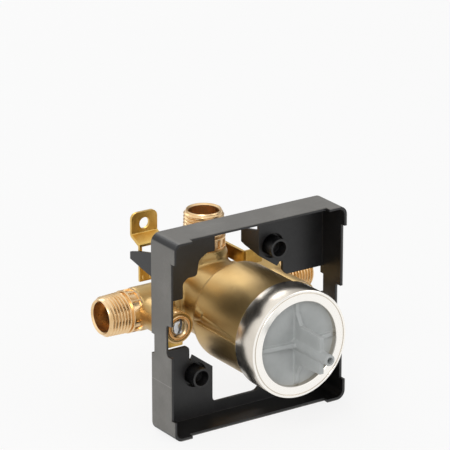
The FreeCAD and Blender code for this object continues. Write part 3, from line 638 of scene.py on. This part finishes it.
# Mounting strap and its screws
# A stamped strip of yellow brass with a cranked ear at each end, held on the rear of the casting
# by two steel screws. The sheet is bright, with faint drawing lines and a few tarnished specks.
def make_sheet_brass():
    material, shader, place = start_material("sheet_brass", Metallic=1.0)
    streaks = place.spread((6.0, 6.0, 0.35)).noise(0.5, detail=4.0, roughness=0.6)
    cloud = place.noise(0.12, detail=3.0)
    spots = place.noise(1.1, detail=3.0)
    shade = (streaks * 0.35 + cloud * 0.65).above(0.32, 0.68)
    stain = spots.above(0.62, 0.75) * 0.35
    gold = shade.tint(colour(206, 166, 84), colour(236, 200, 120))
    base = stain.tint(gold, colour(150, 112, 58))
    connect(shader, Base_Color=base, Roughness=0.24 + streaks * 0.12 + spots * 0.06,
            Normal=bump(streaks * 0.7 + spots * 0.3, 0.012, under=soft_edges(place, 0.18)))
    return material


sheet_brass = make_sheet_brass()
dress(sheet_brass, "mounting_strap")
dress(steel, "strap_screws")


# Plaster guard
# A square frame of injection-moulded black plastic, clipped over the strap. Its skin is satin, and
# its outer faces are painted grey, a painted sheen for the bright room reflected in them, with fine scuffs
# and one faint moulding line on the side faces.
def make_guard_plastic():
    material, shader, place = start_material("guard_plastic")
    x, y, z = place.parts()
    half_width, half_height, skin_depth, fade, line_height = 52.3, 52.8, 0.4, 0.18, -24.0
    side_face = abs(x).above(half_width - skin_depth, half_width)
    level_face = abs(z).above(half_height - skin_depth, half_height)
    outer = side_face.math("MAXIMUM", level_face)
    cloud = place.noise(0.05, detail=4.0, roughness=0.6)
    scuffs = place.spread((1.0, 3.0, 0.6)).noise(0.8, detail=4.0, roughness=0.7)
    fine = place.noise(4.5, detail=2.0)
    mark = 1.0 - abs(z - line_height).above(0.3 - fade, 0.3)
    line = mark * side_face
    dust = (cloud * 0.6 + scuffs * 0.4).above(0.4, 0.68)
    # The inner faces keep the black plastic's own colour; the grey on the outer faces is painted sheen, the
    # bright room reflected in them
    inner_skin = dust.tint(colour(16, 16, 17), colour(31, 31, 32))
    painted_sheen_skin = dust.tint(colour(112, 110, 106), colour(128, 126, 122))
    base = outer.tint(inner_skin, painted_sheen_skin)
    base = (line * 0.5).tint(base, colour(160, 158, 154))
    connect(shader, Base_Color=base, Roughness=0.3 + outer * 0.18 + cloud * 0.1 + scuffs * 0.1,
            Normal=bump(fine * 0.5 + cloud * 0.3 + line * 0.4, 0.03, under=soft_edges(place, 0.35)))
    return material


guard_plastic = make_guard_plastic()
dress(guard_plastic, "plaster_guard")


# Ring nut
# Turned brass, nickel plated: a satin side and a brighter front lip with a fine bead.
def make_nickel():
    material, shader, place = start_material("nickel", Metallic=1.0)
    x, y, z = place.parts()
    front = 1.0 - y.above(nut_front + 0.1, nut_front + 0.4)
    cloud = place.noise(0.05, detail=2.0)
    bands = place.spread((0.02, 1.0, 0.02)).noise(5.0, detail=3.0, roughness=0.7)
    satin = cloud.above(0.2, 0.8).tint(colour(214, 206, 194), colour(230, 223, 212))
    base = front.tint(satin, colour(252, 249, 243))
    connect(shader, Base_Color=base, Roughness=0.2 + cloud * 0.03 + bands * 0.06 - front * 0.06,
            Normal=bump(bands, 0.003))
    return material


nut_front, nut_rear = -85.6, -69.8
nickel = make_nickel()
nut = turn_on_lathe("ring_nut", [
    (22.35, nut_front + 0.3), (22.65, nut_front), (26.35, nut_front), (26.45, nut_front + 0.1),
    (26.5, nut_front + 0.4), (26.9, nut_front + 0.4), (26.95, nut_front + 0.1), (27.05, nut_front),
    (27.75, nut_front), (28.05, nut_front + 0.13), (28.2, nut_front + 0.45), (28.2, nut_rear - 0.5),
    (28.05, nut_rear - 0.15), (27.7, nut_rear), (26.4, nut_rear), (26.1, nut_rear - 0.3),
    (26.1, nut_front + 3.0), (22.35, nut_front + 3.0)], sides=192, closed=True)
finish_piece(nut, nickel, "nut")
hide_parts("bonnet_nut")


# Test cap
# A pale grey moulding that stands in for the cartridge while the wall is built. Two crossed ribs, a
# pull fin and a round nub stand on its disc, and the ring nut holds it. Its skin is finely matte.
def make_grey_plastic():
    material, shader, place = start_material("grey_plastic")
    cloud = place.noise(0.1, detail=3.0)
    fine = place.noise(5.0, detail=3.0)
    base = (cloud * 0.7 + fine * 0.3).above(0.35, 0.65).tint(colour(166, 169, 168), colour(177, 180, 179))
    connect(shader, Base_Color=base, Roughness=0.48 + fine * 0.12, Normal=bump(fine, 0.025))
    return material


grey_plastic = make_grey_plastic()
cap_face = -82.6


def cut_from_sheet(name, outline, thickness):
    """A flat plate from pairs of depth and height, upright and centred on the axis."""
    clear_selection()
    bpy.ops.mesh.primitive_circle_add(vertices=len(outline), radius=0.01, fill_type="NGON")
    plate = bpy.context.object
    plate.name = name
    for vertex, (depth, height) in zip(plate.data.vertices, outline):
        vertex.co = (-thickness / 2 * MM, depth * MM, height * MM)
    bpy.ops.object.mode_set(mode="EDIT")
    bpy.ops.mesh.select_all(action="SELECT")
    bpy.ops.mesh.extrude_region_move(TRANSFORM_OT_translate={"value": (thickness * MM, 0, 0)})
    bpy.ops.mesh.select_all(action="SELECT")
    bpy.ops.mesh.normals_make_consistent(inside=False)
    bpy.ops.object.mode_set(mode="OBJECT")
    return plate


fin = cut_from_sheet("fin", [
    (cap_face + 1, -21.6), (cap_face - 0.9, -21.6), (cap_face - 1.3, -16.5), (cap_face - 4.8, -10.6),
    (cap_face - 22.0, -9.6), (cap_face - 22.0, 9.6), (cap_face - 4.8, 10.6), (cap_face - 1.3, 16.5),
    (cap_face - 0.9, 21.6), (cap_face + 1, 21.6)], 2.5)
rib = cut_from_sheet("rib", [(cap_face + 1, -21.6), (cap_face - 0.9, -21.6), (cap_face - 3.6, 0.0),
                             (cap_face - 0.9, 21.6), (cap_face + 1, 21.6)], 2.3)
rib.rotation_euler = (0, math.radians(90), 0)
bake_place(rib)
disc = turn_on_lathe("cap_front", [(25.2, cap_face), (25.2, -79.0)], sides=128)
peg = turn_on_lathe("peg", [(2.9, cap_face - 28.9), (2.9, cap_face + 0.5)], sides=32)
join_pieces(disc, [fin, rib, peg])
mould = disc.modifiers.new("mould", "REMESH")
mould.mode = "VOXEL"
mould.voxel_size = 0.38 * MM
bpy.ops.object.modifier_apply(modifier="mould")
ease = disc.modifiers.new("ease", "SMOOTH")
ease.factor = 0.5
ease.iterations = 4
bpy.ops.object.modifier_apply(modifier="ease")
cut_away(disc, turn_on_lathe("dimple", [(1.7, cap_face - 31.0), (1.7, cap_face - 25.0),
                                        (1.3, cap_face - 24.6)], sides=32))
finish_piece(disc, grey_plastic, "cap", smooth=50)
spigot = turn_on_lathe("cap_spigot", [
    (16.3, -79.1), (19.9, -79.1), (19.9, -73.0), (17.4, -73.0), (17.4, -70.0), (19.9, -70.0), (19.9, -35.3),
    (19.6, -35.0), (14.7, -35.0), (14.7, -25.1), (12.2, -25.1), (12.2, -22.1), (14.7, -22.1), (14.7, -17.0),
    (13.7, -16.0), (11.2, -16.0), (11.2, -38.6), (16.3, -38.6)], closed=True)
finish_piece(spigot, grey_plastic, "cap")
for piece in (disc, spigot):
    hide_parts("test_cap")
